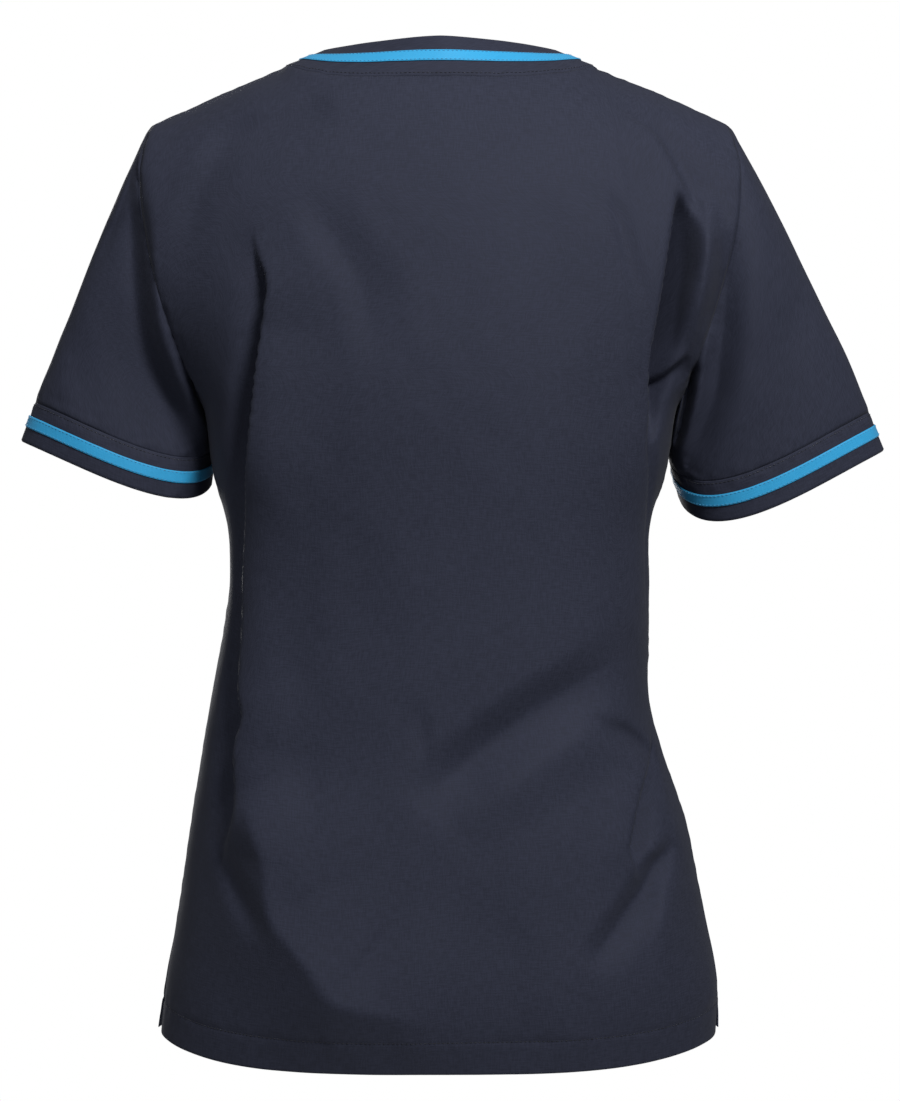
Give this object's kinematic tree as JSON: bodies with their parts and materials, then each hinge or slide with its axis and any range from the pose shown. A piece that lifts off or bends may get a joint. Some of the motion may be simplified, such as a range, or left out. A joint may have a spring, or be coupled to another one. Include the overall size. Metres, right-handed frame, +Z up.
{
  "type": "scrub top",
  "caption": "Women's short-sleeved V-neck scrub top, hollow as worn, with contrast tape on neckband and cuffs.",
  "frame": {"origin": "midway between the two points where the shoulder seams meet the neckband, which is where the wearer's shoulders hold the garment", "axes": "+Z up along the wearer, -Y the way the wearer faces, so +Y is the back, and +X the wearer's left"},
  "size_m": [0.602, 0.268, 0.6891],
  "materials": {
    "navy_cloth": "matt plain weave poly-cotton with a faint sheen",
    "blue_tape": "woven satin-edged tape"
  },
  "bodies": {
    "root": {"back_panel": "navy_cloth", "front_panel": "navy_cloth", "sleeve_left": "navy_cloth", "sleeve_right": "navy_cloth", "cuff_left": "navy_cloth", "cuff_right": "navy_cloth", "neckband": "navy_cloth", "cuff_tape_left": "blue_tape", "cuff_tape_right": "blue_tape", "neck_tape": "blue_tape"}
  },
  "joints": []
}
